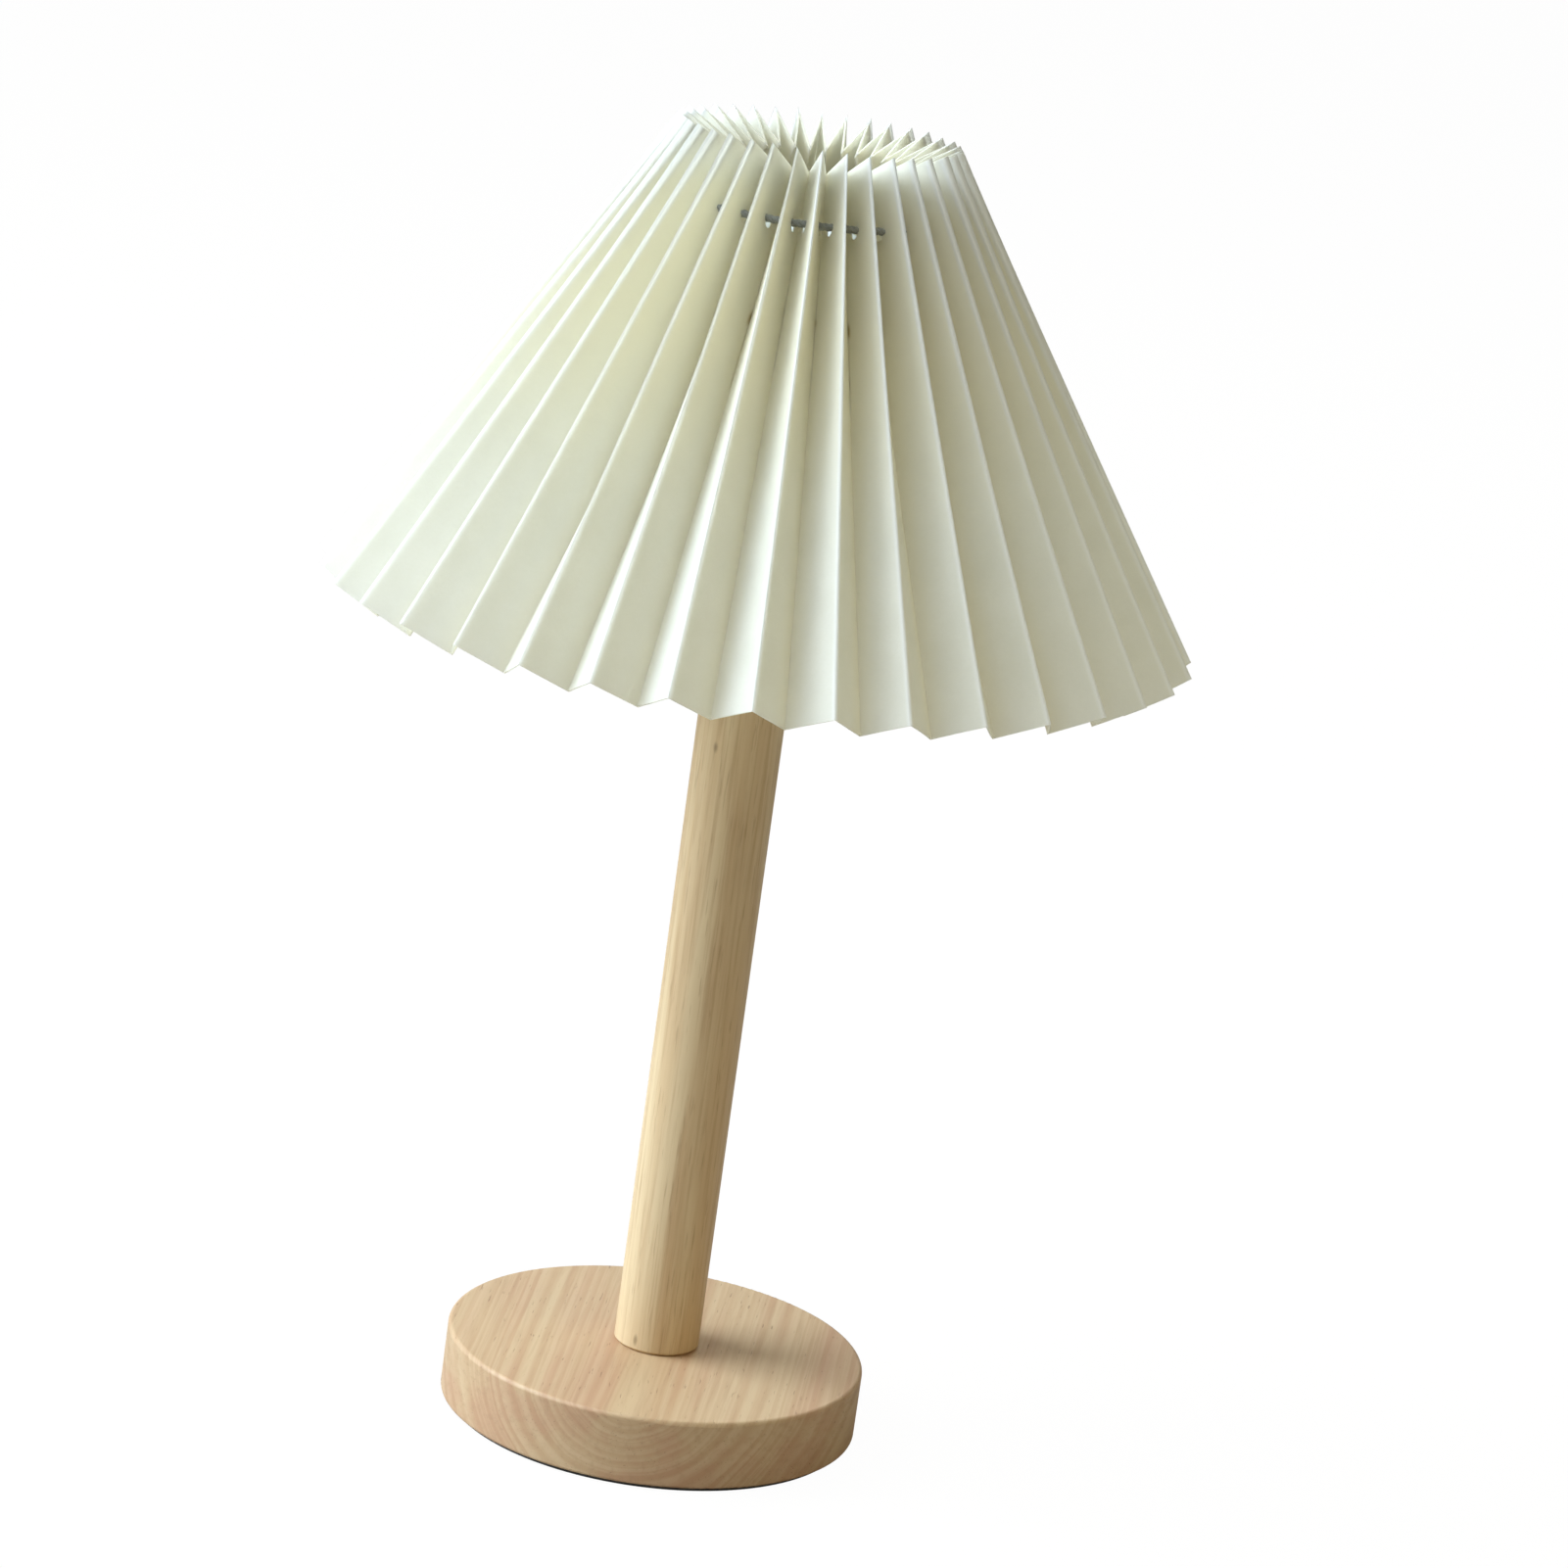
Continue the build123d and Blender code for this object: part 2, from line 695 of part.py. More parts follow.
# ---------------------------------------------------------------- pleated shade
with BuildPart() as pleated_shade:
    for level in (zigzag_low, zigzag_high):
        with BuildSketch(Plane.XY.offset(level)):
            Polygon(*zigzag(level, 0), align=None)
    loft(ruled=True)
    for level in sheet_levels:
        with BuildSketch(Plane.XY.offset(level)):
            Polygon(*zigzag(level, paper_thickness), align=None)
    loft(ruled=True, mode=Mode.SUBTRACT)
    with BuildSketch(Plane.XZ):
        with BuildLine():
            Polyline(
                across(ridge_top, -trim_margin),
                across(ridge_top, top_depth + trim_margin),
                across(ridge_bottom, bottom_depth + trim_margin),
                across(ridge_bottom, -trim_margin),
                close=True,
            )
        make_face()
    revolve(axis=Axis.Z, mode=Mode.INTERSECT)
    with BuildSketch(Plane.XZ):
        with Locations((string_radius, string_height)):
            Circle(punch_diameter / 2)
    revolve(axis=Axis.Z, mode=Mode.SUBTRACT)
pleated_shade.part.label = "pleated_shade"

# Drawstring: a ring through the punched holes, tied in a valley at the back. The knot stands
# just outside the ridges, and its two tails lie down along the valley.
knot_turn = 90 + 180 / pleat_count
knot_plane = Plane.XZ.rotated((0, 0, knot_turn))
knot_radius_out = radius_on(ridge_line, string_height) + knot_stand_off
tail_fall = (tail_length * sin(lean), -tail_length * cos(lean))

with BuildPart() as drawstring:
    with BuildSketch(Plane.XZ):
        with Locations((string_radius, string_height)):
            Circle(string_diameter / 2)
    revolve(axis=Axis.Z)
    with BuildSketch(knot_plane):
        with Locations(((string_radius + knot_radius_out) / 2, string_height)):
            Rectangle(knot_radius_out - string_radius, string_diameter)
    extrude(amount=string_diameter / 2, both=True)
    knot_centre = knot_plane.from_local_coords((knot_radius_out, string_height, 0))
    with Locations(knot_centre):
        Sphere(knot_diameter / 2)
    for side in (-1, 1):
        tail_end = knot_plane.from_local_coords(
            (
                knot_radius_out + tail_fall[0],
                string_height + tail_fall[1],
                side * tail_spread / 2,
            )
        )
        tail_plane = Plane(origin=knot_centre, z_dir=tail_end - knot_centre)
        with BuildSketch(tail_plane):
            Circle(string_diameter / 2)
        extrude(amount=(tail_end - knot_centre).length)
drawstring.part.label = "drawstring"

# ---------------------------------------------------------------- files
pieces = (
    base_disc,
    anti_slip_pad,
    cord_gland,
    base_washer,
    base_nut,
    pole,
    threaded_tube,
    pole_washer,
    holder_cap,
    holder_body,
    terminal_block,
    terminal_clamps,
    terminal_screws,
    screw_shell,
    centre_contact,
    side_contact,
    retaining_ring,
    fitter_plate,
    carrier_spokes,
    carrier_ring,
    bulb_contact,
    bulb_insulator,
    bulb_cap,
    bulb_housing,
    bulb_driver_board,
    bulb_led_board,
    bulb_leds,
    bulb_diffuser,
    pleated_shade,
    drawstring,
)
for piece in pieces:
    export_step(piece.part, f"parts/{piece.part.label}.step")
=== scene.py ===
"""Looks of the table lamp: pleated paper shade, drawstring, wooden pole and base, studio.

Metres, +Z up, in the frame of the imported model. The lamp's axis is Z and its front is -Y.
"""

from math import asin, atan2, cos, pi, radians, sin, sqrt, tau
from random import Random

import bmesh
import bpy
from mathutils import Matrix, Vector, noise


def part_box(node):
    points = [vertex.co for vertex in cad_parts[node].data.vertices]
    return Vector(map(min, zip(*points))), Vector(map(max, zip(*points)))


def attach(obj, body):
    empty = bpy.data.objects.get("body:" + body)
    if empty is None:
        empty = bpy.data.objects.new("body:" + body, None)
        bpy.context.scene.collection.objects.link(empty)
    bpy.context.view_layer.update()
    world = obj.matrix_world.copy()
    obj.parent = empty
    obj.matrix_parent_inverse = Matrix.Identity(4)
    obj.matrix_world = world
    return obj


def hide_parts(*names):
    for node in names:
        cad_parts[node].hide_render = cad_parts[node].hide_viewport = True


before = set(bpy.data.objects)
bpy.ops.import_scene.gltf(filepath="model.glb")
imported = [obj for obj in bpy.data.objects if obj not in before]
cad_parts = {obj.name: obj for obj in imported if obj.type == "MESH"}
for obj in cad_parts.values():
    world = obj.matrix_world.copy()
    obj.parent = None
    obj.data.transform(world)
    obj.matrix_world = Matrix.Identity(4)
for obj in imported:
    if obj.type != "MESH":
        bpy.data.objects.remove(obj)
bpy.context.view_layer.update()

scene = bpy.context.scene
MM = 0.001

# ---------------------------------------------------------------- sizes of the paper and string
PLEATS = 36
FOLD_LENGTH = 141 * MM
FACET_WIDTH = 14 * MM
TOP_RADIUS = 35 * MM
PAPER_THICKNESS = 0.4 * MM
PUNCH_FROM_TOP = 16.3 * MM
PUNCH_FROM_RIDGE = 8.8 * MM
PUNCH_RADIUS = 1.6 * MM
STRING_RADIUS = 1.0 * MM
STRAND_RADIUS = 0.56 * MM
STRAND_TWIST = 5.0 * MM
KNOT_STAND_OFF = 2.6 * MM
TAIL_LENGTH = 17 * MM

FACETS = 2 * PLEATS
HALF_PITCH = pi / PLEATS
BOTTOM_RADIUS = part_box("pleated_shade")[1].x
SHADE_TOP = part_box("pleated_shade")[1].z
LEAN = asin((BOTTOM_RADIUS - TOP_RADIUS) / FOLD_LENGTH)
HEM = SHADE_TOP - FOLD_LENGTH * cos(LEAN)
CARRIER_HEIGHT = (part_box("carrier_ring")[0].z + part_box("carrier_ring")[1].z) / 2


def fold_depth(ridge_radius):
    """Depth from ridge to valley, square to the cone, that gives a facet its width."""
    bow = 1 - cos(HALF_PITCH)
    half = ridge_radius * cos(LEAN) * bow
    return half + sqrt(half**2 - 2 * ridge_radius**2 * bow + FACET_WIDTH**2)


def across(radius, height, depth):
    """Point at a depth inside a ridge point, as (radius, height)."""
    return radius - depth * cos(LEAN), height - depth * sin(LEAN)


def around(radius, height, turn):
    """Point at an azimuth, in radians from +X."""
    return Vector((radius * cos(turn), radius * sin(turn), height))


# ---------------------------------------------------------------- mesh tools
def mesh_piece(name, points, faces, smooth=True):
    """A new mesh object of these points and faces, with its normals facing out."""
    mesh = bpy.data.meshes.new(name)
    mesh.from_pydata([tuple(p) for p in points], [], faces)
    mesh.validate()
    shape = bmesh.new()
    shape.from_mesh(mesh)
    bmesh.ops.recalc_face_normals(shape, faces=shape.faces)
    shape.to_mesh(mesh)
    shape.free()
    mesh.polygons.foreach_set("use_smooth", [smooth] * len(mesh.polygons))
    piece = bpy.data.objects.new(name, mesh)
    scene.collection.objects.link(piece)
    return piece


def frames_along(path):
    """Two unit vectors square to the path at each of its points, without twist."""
    pairs = []
    side = None
    for i in range(len(path)):
        ahead = path[min(i + 1, len(path) - 1)] - path[max(i - 1, 0)]
        ahead.normalize()
        if side is None:
            side = ahead.orthogonal()
        side = (side - ahead * side.dot(ahead)).normalized()
        pairs.append((side, ahead.cross(side)))
    return pairs


def tube(path, radius, sides, points, faces):
    """Adds a closed tube along a path to points and faces."""
    first = len(points)
    for centre, (side, up) in zip(path, frames_along(path)):
        for k in range(sides):
            turn = tau * k / sides
            points.append(centre + side * (radius * cos(turn)) + up * (radius * sin(turn)))
    for i in range(len(path) - 1):
        for k in range(sides):
            a = first + i * sides + k
            b = first + i * sides + (k + 1) % sides
            faces.append((a, b, b + sides, a + sides))
    faces.append(tuple(first + k for k in range(sides)))
    last = first + (len(path) - 1) * sides
    faces.append(tuple(last + k for k in range(sides)))


def rounded(path, passes=2):
    """The same path with its corners cut, so that a cord bends softly."""
    for _ in range(passes):
        cut = [path[0]]
        for a, b in zip(path, path[1:]):
            cut += [a.lerp(b, 0.25), a.lerp(b, 0.75)]
        path = cut + [path[-1]]
    return path


def resampled(path, step):
    """The same path with points an even step apart."""
    made = [path[0].copy()]
    left = step
    for a, b in zip(path, path[1:]):
        length = (b - a).length
        gone = left
        while gone < length:
            made.append(a.lerp(b, gone / length))
            gone += step
        left = gone - length
    made.append(path[-1].copy())
    return made


# ---------------------------------------------------------------- node tools
class Nodes:
    """Adds nodes to a tree and joins them. A source is a node's output or a plain value."""

    def __init__(self, tree):
        self.tree = tree

    def node(self, kind, links=(), **values):
        """A new node with these settings, and with a source for each socket in links."""
        made = self.tree.nodes.new(kind)
        for key, value in values.items():
            setattr(made, key, value)
        for socket, source in links:
            self.put(made.inputs[socket], source)
        return made

    def put(self, socket, source):
        """Joins a node's output to a socket, or writes a plain value on it."""
        if isinstance(source, bpy.types.NodeSocket):
            self.tree.links.new(source, socket)
        else:
            socket.default_value = source

    def math(self, operation, a, b=0.0, c=0.0):
        links = [(0, a), (1, b), (2, c)]
        return self.node("ShaderNodeMath", links, operation=operation).outputs[0]

    def fit(self, value, low, high, to_low=0.0, to_high=1.0):
        """Value between low and high, eased and moved to another range."""
        links = [(0, value), (1, low), (2, high), (3, to_low), (4, to_high)]
        made = self.node("ShaderNodeMapRange", links, interpolation_type="SMOOTHSTEP")
        return made.outputs[0]

    def mix(self, factor, a, b, blend="MIX"):
        """Colour between a and b, each an output or a linear (red, green, blue)."""
        made = self.node("ShaderNodeMix", data_type="RGBA", blend_type=blend)
        for socket, source in ((0, factor), (6, a), (7, b)):
            value = (*source, 1) if isinstance(source, tuple) else source
            self.put(made.inputs[socket], value)
        return made.outputs[2]

    def mix_shaders(self, factor, a, b):
        return self.node("ShaderNodeMixShader", [(0, factor), (1, a), (2, b)]).outputs[0]

    def seen_by_camera(self):
        """1 for what the camera sees directly, and 0 for the light that it gives."""
        return self.node("ShaderNodeLightPath").outputs["Is Camera Ray"]


class Finish(Nodes):
    """A node material that is put together step by step around one Principled shader."""

    def __init__(self, name):
        self.material = bpy.data.materials.new(name)
        self.material.use_nodes = True
        super().__init__(self.material.node_tree)
        self.shader = self.tree.nodes["Principled BSDF"]
        self.output = self.tree.nodes["Material Output"]
        self.where = self.node("ShaderNodeTexCoord").outputs["Object"]

    def stretched(self, scale, turn=0.0, shift=(0, 0, 0)):
        """Object coordinates, turned about Z, shifted and scaled."""
        links = [("Vector", self.where), ("Rotation", (0, 0, turn)), ("Location", shift)]
        turned = self.node("ShaderNodeMapping", links).outputs[0]
        links = [(0, turned), (1, scale)]
        return self.node("ShaderNodeVectorMath", links, operation="MULTIPLY").outputs[0]

    def noise(self, vector, scale, detail, rough=0.5, bend=0.0):
        links = [
            ("Vector", vector),
            ("Scale", scale),
            ("Detail", detail),
            ("Roughness", rough),
            ("Distortion", bend),
        ]
        return self.node("ShaderNodeTexNoise", links).outputs["Fac"]

    def distance(self, vector):
        """Length of a vector."""
        return self.node("ShaderNodeVectorMath", [(0, vector)], operation="LENGTH").outputs["Value"]

    def bump(self, height, depth, strength):
        links = [("Height", height), ("Distance", depth), ("Strength", strength)]
        return self.node("ShaderNodeBump", links).outputs[0]

    def finish(self, colour, roughness, normal=None, **values):
        """Sets the shader's sockets, with spaces for _ in their names, and gives the material."""
        self.put(self.shader.inputs["Base Color"], colour)
        self.put(self.shader.inputs["Roughness"], roughness)
        if normal is not None:
            self.put(self.shader.inputs["Normal"], normal)
        for name, value in values.items():
            self.put(self.shader.inputs[name.replace("_", " ")], value)
        return self.material


def rgb(red, green, blue):
    """Linear colour of a screen colour given as 0 to 255."""
    made = []
    for value in (red, green, blue):
        share = value / 255
        made.append(share / 12.92 if share <= 0.04045 else ((share + 0.055) / 1.055) ** 2.4)
    return tuple(made)


# ---------------------------------------------------------------- finish of the paper
# Heights where the painted warm glow of light bounced between the pleats starts, is full, fades
# towards the top and ends
PAINTED_BOUNCE_STARTS = 245 * MM
PAINTED_BOUNCE_FULL = 300 * MM
PAINTED_BOUNCE_FADES = 320 * MM
PAINTED_BOUNCE_ENDS = 333 * MM
PAINTED_BOUNCE_SHARE = 0.8
# How far above and below the carrier's height the brown valley marks are full, and where they end
MARK_CORE = 0.3 * MM
MARK_EDGE = 2.2 * MM
PAPER_LETS_THROUGH = 0.55


def paper_finish():
    """Matt fibrous paper that lets light through.

    It is white on the ridges, partly the paper's own whitening at its folds and partly a painted
    highlight; creamier in the valleys, a painted shade; a little warmer round the bulb's height and
    above it, a painted glow of light bounced between the pleats; and it has brown marks in some
    valleys at the carrier's height.
    """
    f = Finish("pleated_paper")
    fold = f.node("ShaderNodeAttribute", attribute_name="fold").outputs["Fac"]
    height = f.node("ShaderNodeSeparateXYZ", [(0, f.where)]).outputs["Z"]
    clouds = f.noise(f.where, 90, 4, 0.6)
    fibres = f.noise(f.where, 1500, 5, 0.65, 0.4)
    sheet = f.mix(f.fit(clouds, 0.3, 0.7), rgb(245, 245, 241), rgb(248, 248, 245))
    sheet = f.mix(f.fit(fibres, 0.35, 0.75, 0, 0.35), sheet, rgb(241, 241, 236))
    # Painted shade: the valleys are a little creamier and darker, standing for the shade and bounced
    # light deep in the pleats
    sheet = f.mix(f.fit(fold, 0, 0.5, 0.45, 0), sheet, rgb(245, 242, 230))
    # Painted warm glow: the paper turns warmer from the bulb's height up and fades near the top,
    # standing for light bounced between the pleats
    above = f.fit(height, PAINTED_BOUNCE_STARTS, PAINTED_BOUNCE_FULL)
    below = f.fit(height, PAINTED_BOUNCE_FADES, PAINTED_BOUNCE_ENDS, PAINTED_BOUNCE_SHARE, 0)
    sheet = f.mix(f.math("MULTIPLY", above, below), sheet, rgb(249, 247, 237))
    # The ridges turn whiter: partly the paper's own whitening at its folds, partly a painted
    # highlight where the folds catch the light
    sheet = f.mix(f.fit(fold, 0.9, 0.98, 0, 0.95), sheet, rgb(253, 254, 255))
    # Brown marks in some valleys at the carrier's height
    off = f.math("ABSOLUTE", f.math("SUBTRACT", height, CARRIER_HEIGHT))
    near = f.math("MULTIPLY", f.fit(off, MARK_CORE, MARK_EDGE, 1, 0), f.fit(fold, 0.02, 0.16, 1, 0))
    patchy = f.fit(f.noise(f.where, 70, 1), 0.42, 0.6)
    sheet = f.mix(f.math("MULTIPLY", near, patchy), sheet, rgb(196, 182, 138))
    relief = f.math("ADD", fibres, f.math("MULTIPLY", clouds, 0.6))
    grain = f.bump(relief, depth=0.05 * MM, strength=0.55)
    f.finish(sheet, 0.62, grain, Specular_IOR_Level=0.3)
    tinted = f.mix(1.0, sheet, rgb(255, 254, 246), "MULTIPLY")
    through = f.node("ShaderNodeBsdfTranslucent", [("Color", tinted), ("Normal", grain)])
    both = f.mix_shaders(PAPER_LETS_THROUGH, f.shader.outputs[0], through.outputs[0])
    f.put(f.output.inputs["Surface"], both)
    return f.material


# ---------------------------------------------------------------- finishes of the wood
# The base's grain runs along Y, turned a little. The shift brings the pith to the origin.
GRAIN_TURN = radians(5.7)
SHIFT_TO_PITH = (0.6 * MM, 0, -30.2 * MM)
RING_WAVE = 5 * MM
RING_DENSITY = 88


def base_wood_finish():
    """Flat-sawn hardwood: rings about a pith above the disc, so the rim shows arcs."""
    f = Finish("base_hardwood")
    bent = f.noise(f.stretched((1, 0.12, 1), GRAIN_TURN), 40, 2, 0.5)
    from_pith = f.distance(f.stretched((1, 0.02, 1), GRAIN_TURN, SHIFT_TO_PITH))
    wavy = f.math("MULTIPLY_ADD", bent, RING_WAVE, from_pith)
    ring_links = [("W", f.math("MULTIPLY", wavy, RING_DENSITY)), ("Detail", 3.0), ("Roughness", 0.55)]
    rings = f.node("ShaderNodeTexNoise", ring_links, noise_dimensions="1D").outputs["Fac"]
    streaks = f.noise(f.stretched((1, 0.05, 1), GRAIN_TURN), 620, 5, 0.62)
    broad = f.noise(f.stretched((1, 0.08, 1), GRAIN_TURN), 75, 3, 0.55)
    pores = f.noise(f.stretched((1, 0.07, 1), GRAIN_TURN, (0.3, 0, 0)), 2200, 2, 0.5)
    pore = f.fit(pores, 0.66, 0.74)
    wood = f.mix(f.fit(rings, 0.34, 0.64), rgb(198, 169, 134), rgb(183, 147, 112))
    wood = f.mix(f.fit(broad, 0.4, 0.65, 0, 0.4), wood, rgb(190, 149, 120))
    wood = f.mix(f.fit(broad, 0.6, 0.35, 0, 0.4), wood, rgb(202, 178, 141))
    wood = f.mix(f.fit(streaks, 0.45, 0.75, 0, 0.4), wood, rgb(170, 137, 106))
    wood = f.mix(f.math("MULTIPLY", pore, 0.55), wood, rgb(128, 94, 68))
    relief = f.math("SUBTRACT", f.math("MULTIPLY", streaks, 0.5), pore)
    gloss = f.fit(streaks, 0.3, 0.7, 0.48, 0.6)
    return f.finish(wood, gloss, f.bump(relief, depth=0.06 * MM, strength=0.7))


POLE_KNOTS = ((-5.6 * MM, -9.5 * MM, 181.1 * MM), (-5.5 * MM, -9.5 * MM, 22.3 * MM))
POLE_KNOT_CORE = 0.4 * MM
POLE_KNOT_EDGE = 1.2 * MM
POLE_KNOT_FLATTENING = (1, 1, 0.45)
POLE_KNOT_FRAY = 0.6 * MM


def pole_wood_finish():
    """Pale hardwood dowel: fine straight grain up the pole, short dark pores and two pin knots."""
    f = Finish("pole_hardwood")
    bands = f.noise(f.stretched((1, 1, 0.04)), 150, 3, 0.55, 0.3)
    lines = f.noise(f.stretched((1, 1, 0.03)), 900, 4, 0.6)
    flecks = f.noise(f.stretched((1, 1, 0.06), shift=(0.2, 0, 0)), 1500, 2, 0.5)
    wood = f.mix(f.fit(bands, 0.35, 0.65), rgb(222, 199, 160), rgb(208, 179, 138))
    wood = f.mix(f.fit(lines, 0.45, 0.7, 0, 0.5), wood, rgb(184, 150, 110))
    wood = f.mix(f.fit(flecks, 0.6, 0.72, 0, 0.35), wood, rgb(156, 120, 86))
    for knot in POLE_KNOTS:
        away = f.node("ShaderNodeVectorMath", [(0, f.where), (1, knot)], operation="SUBTRACT")
        links = [(0, away.outputs[0]), (1, POLE_KNOT_FLATTENING)]
        flat = f.node("ShaderNodeVectorMath", links, operation="MULTIPLY")
        spread = f.math("MULTIPLY_ADD", lines, POLE_KNOT_FRAY, f.distance(flat.outputs[0]))
        dark = f.fit(spread, POLE_KNOT_CORE, POLE_KNOT_EDGE, 0.55, 0)
        wood = f.mix(dark, wood, rgb(116, 90, 62))
    relief = f.math("ADD", f.math("MULTIPLY", lines, 0.6), f.math("MULTIPLY", flecks, 0.4))
    gloss = f.fit(lines, 0.3, 0.7, 0.45, 0.58)
    return f.finish(wood, gloss, f.bump(relief, depth=0.05 * MM, strength=0.6))


# ---------------------------------------------------------------- finishes of the other pieces
def speckled_finish(name, colour, spot, roughness, scale=900, depth=0.03 * MM):
    """Moulded, glazed or coated surface with a fine mottle in colour, gloss and height."""
    f = Finish(name)
    fine = f.noise(f.where, scale, 4, 0.6)
    soft = f.noise(f.where, scale / 9, 3, 0.5)
    mixed = f.mix(f.fit(fine, 0.35, 0.7, 0, 0.6), colour, spot)
    mixed = f.mix(f.fit(soft, 0.4, 0.7, 0, 0.4), mixed, spot)
    gloss = f.fit(soft, 0.3, 0.7, roughness - 0.06, roughness + 0.06)
    return f.finish(mixed, gloss, f.bump(fine, depth, strength=0.5))


def brushed_finish(name, colour, dull, roughness):
    """Plated or turned metal with fine rings about the axis and faint stains."""
    f = Finish(name)
    turned = f.noise(f.stretched((0.15, 0.15, 1)), 3200, 3, 0.6)
    stains = f.noise(f.where, 260, 4, 0.6)
    metal = f.mix(f.fit(stains, 0.45, 0.75, 0, 0.7), colour, dull)
    gloss = f.fit(turned, 0.3, 0.7, roughness - 0.08, roughness + 0.1)
    rings = f.bump(turned, depth=0.01 * MM, strength=0.4)
    return f.finish(metal, gloss, rings, Metallic=1.0)


def string_finish():
    """Dull grey cotton with loose fibres."""
    f = Finish("drawstring_cotton")
    fibres = f.noise(f.where, 5200, 4, 0.7)
    worn = f.noise(f.where, 420, 2, 0.5)
    cotton = f.mix(f.fit(fibres, 0.3, 0.75), rgb(124, 127, 123), rgb(162, 164, 157))
    cotton = f.mix(f.fit(worn, 0.5, 0.8, 0, 0.5), cotton, rgb(166, 168, 162))
    fuzz = f.bump(fibres, depth=0.08 * MM, strength=0.8)
    return f.finish(cotton, 0.85, fuzz, Sheen_Weight=0.3)


def circuit_finish():
    """Green circuit board with paler tracks."""
    f = Finish("circuit_board")
    links = [
        ("Vector", f.stretched((420, 420, 420))),
        ("Color1", (*rgb(44, 104, 62), 1)),
        ("Color2", (*rgb(38, 92, 55), 1)),
        ("Mortar", (*rgb(120, 160, 110), 1)),
    ]
    cells = f.node("ShaderNodeTexBrick", links)
    gloss = f.fit(f.noise(f.where, 700, 2), 0.3, 0.7, 0.3, 0.45)
    tracks = f.bump(cells.outputs["Fac"], depth=0.05 * MM, strength=0.4)
    return f.finish(cells.outputs["Color"], gloss, tracks)


def opal_finish():
    """Opal bulb globe: milky and half glossy, scattering light under its surface."""
    f = Finish("opal_globe")
    haze = f.noise(f.where, 140, 3, 0.5)
    milk = f.mix(f.fit(haze, 0.35, 0.65), rgb(244, 244, 240), rgb(236, 237, 232))
    ripple = f.bump(haze, depth=0.02 * MM, strength=0.3)
    return f.finish(milk, f.fit(haze, 0.3, 0.7, 0.22, 0.3), ripple, Subsurface_Weight=0.2)


# ---------------------------------------------------------------- folds of the paper
# Unevenness: how far folds stand off their even places, round the cone and inwards, and
# which share of that a fold has in common at the hem and at the top
HEM_TURN_PLAY = radians(0.5)
TOP_TURN_PLAY = radians(1.3)
SWING_SHARE = 0.6
INWARD_PLAY = 0.7 * MM
# Room that the lean of the sheet's thickness needs below the shade's top
FOLD_DROP = 0.35 * MM
# How far a facet bows at most, at the hem, halfway up and at the top
FACET_BOWS = (0.2 * MM, 0.25 * MM, 0.1 * MM)
WRINKLE_DEPTH = 0.06 * MM
WRINKLE_RATES = (3.1, 1.5, 7)
# Grid of a facet: columns counted from its ridge and from its valley, rows below and above
# the punched patch, and the patch itself, a square that reaches this far from the hole's centre
RIDGE_COLUMNS = (0, 0.45 * MM, 1.1 * MM, 2.2 * MM, 3.4 * MM, 4.8 * MM)
VALLEY_COLUMNS = (1.9 * MM, 1.1 * MM, 0.45 * MM, 0)
LOW_ROWS = 27
HIGH_ROWS = 4
PUNCH_PATCH = 2.5 * MM
PATCH_STEPS = (-1.0, -0.5, 0.0, 0.5, 1.0)


def paper_folds():
    """Bottom and top point of each fold, ridges and valleys by turns, on the sheet's middle."""
    draw = Random(36)
    hem_valley = across(BOTTOM_RADIUS, HEM, fold_depth(BOTTOM_RADIUS))
    top_valley = across(TOP_RADIUS, SHADE_TOP, fold_depth(TOP_RADIUS))
    ends = (
        ((BOTTOM_RADIUS, HEM), hem_valley, HEM_TURN_PLAY),
        ((TOP_RADIUS, SHADE_TOP), top_valley, TOP_TURN_PLAY),
    )
    folds = []
    for index in range(FACETS):
        is_valley = index % 2
        swing = draw.uniform(-1, 1)
        fold = []
        for ridge, valley, turn_play in ends:
            slope = atan2(valley[0] * sin(HALF_PITCH), ridge[0] - valley[0] * cos(HALF_PITCH))
            facet_to_radius = slope + HALF_PITCH * is_valley
            radius, height = (ridge, valley)[is_valley]
            inset = PAPER_THICKNESS / 2 / sin(facet_to_radius) + draw.uniform(0, INWARD_PLAY)
            own_swing = draw.uniform(-1, 1)
            off_turn = turn_play * (SWING_SHARE * swing + (1 - SWING_SHARE) * own_swing) / 2
            radius, height = across(radius, height, inset)
            fold.append(around(radius, height - FOLD_DROP, HALF_PITCH * index + off_turn))
        folds.append(fold)
    return folds


def sheet_columns():
    """Places across a facet from its ridge, as shares of its width, close together at the folds."""
    punched = [PUNCH_FROM_RIDGE + step * PUNCH_PATCH for step in PATCH_STEPS]
    near_valley = [FACET_WIDTH - place for place in VALLEY_COLUMNS]
    return [place / FACET_WIDTH for place in [*RIDGE_COLUMNS, *punched, *near_valley]]


def sheet_rows():
    """Places along a fold from the hem, as shares of its length."""
    punch = FOLD_LENGTH - PUNCH_FROM_TOP
    rows = [k / LOW_ROWS * (punch - PUNCH_PATCH) for k in range(LOW_ROWS)]
    rows += [punch + step * PUNCH_PATCH for step in PATCH_STEPS]
    above = PUNCH_FROM_TOP - PUNCH_PATCH
    rows += [punch + PUNCH_PATCH + (k + 1) / HIGH_ROWS * above for k in range(HIGH_ROWS)]
    return [row / FOLD_LENGTH for row in rows]


def near_punch(places, centre, span):
    """Which of these places lie on the square patch round a punched hole, its edges included."""
    rounding = 1.001
    reach = PUNCH_PATCH * rounding
    return [i for i, place in enumerate(places) if abs(place - centre) * span < reach]


